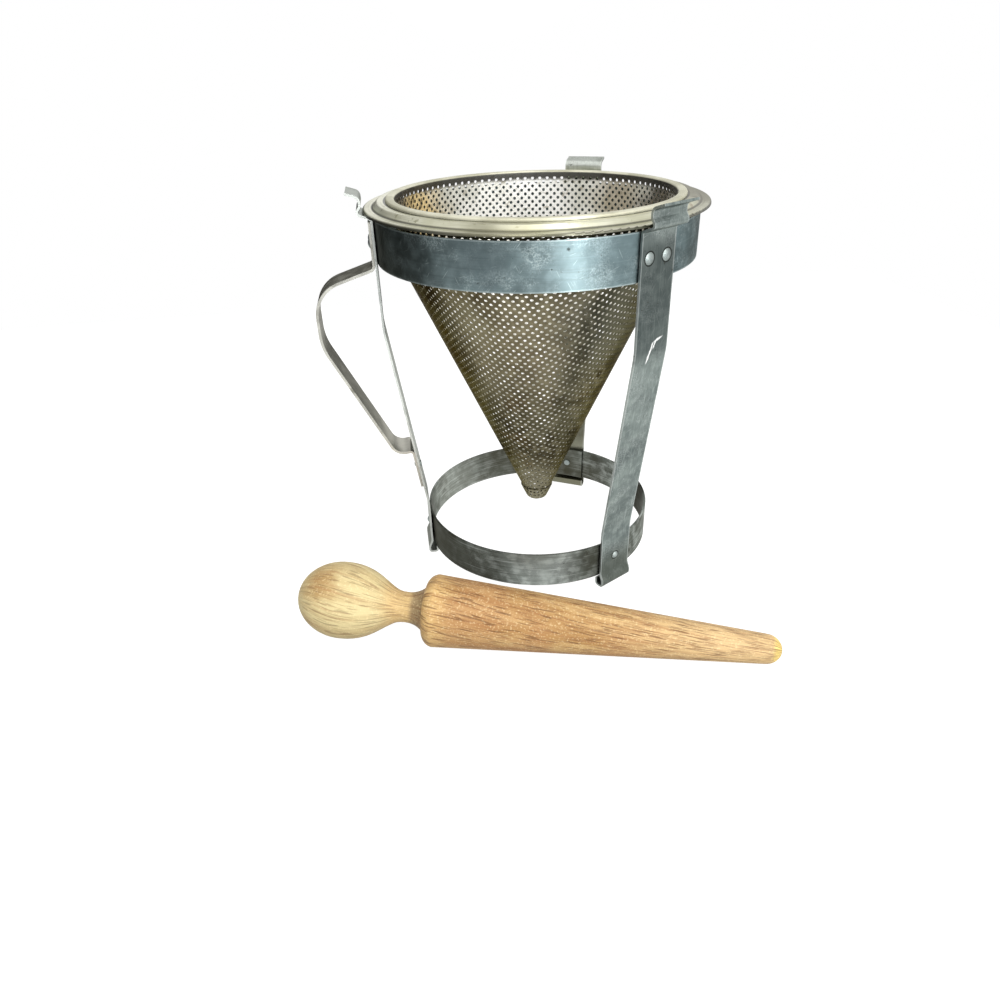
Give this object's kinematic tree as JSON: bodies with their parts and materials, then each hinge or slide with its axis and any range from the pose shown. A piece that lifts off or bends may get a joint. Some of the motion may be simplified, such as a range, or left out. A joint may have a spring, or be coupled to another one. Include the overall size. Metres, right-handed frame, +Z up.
{
  "type": "chinois strainer set",
  "caption": "Conical perforated strainer hung by its rim in the sprung clips of a three-legged strap stand with a handle, with a turned wooden pestle beside it.",
  "frame": {"origin": "on the table, where the stand's axis meets it", "axes": "+Z up along the stand's axis, -X towards the handle, +Y towards the rear leg's side; the pestle lies on the -Y side"},
  "size_m": [0.26, 0.2542, 0.2301],
  "materials": {
    "band_steel": "blue-grey galvanised sheet, dulled and finely scratched",
    "ring_steel": "dark grey galvanised sheet, stained and scratched",
    "leg_steel": "grey galvanised strap, worn lengthwise",
    "handle_steel": "warm grey strap, worn by the hand",
    "rivet_steel": "dull zinc-plated rivet",
    "rim_steel": "stamped tinned sheet, warm and lightly tarnished",
    "cone_steel": "perforated tinned sheet, bronze-brown with age",
    "pestle_wood": "bare turned beech, dry and smooth"
  },
  "bodies": {
    "stand": {"upper_band": "band_steel", "lower_ring": "ring_steel", "front_leg": "leg_steel", "rear_leg": "leg_steel", "handle_leg": "leg_steel", "handle": "handle_steel", "band_rivets": "rivet_steel", "ring_rivets": "rivet_steel", "handle_rivet": "rivet_steel"},
    "strainer": {"strainer_rim": "rim_steel", "strainer_collar": "cone_steel", "strainer_cone": "cone_steel", "tip_cap": "cone_steel"},
    "loose_pestle": {"pestle": "pestle_wood"}
  },
  "joints": [
    {"name": "strainer_lift", "type": "slide", "parent": "stand", "child": "strainer", "axis": [0, 0, 1], "range_m": [0, 0.2]},
    {"name": "pestle_lift", "type": "slide", "parent": "stand", "child": "loose_pestle", "axis": [0, 0, 1], "range_m": [0, 0.15]}
  ]
}
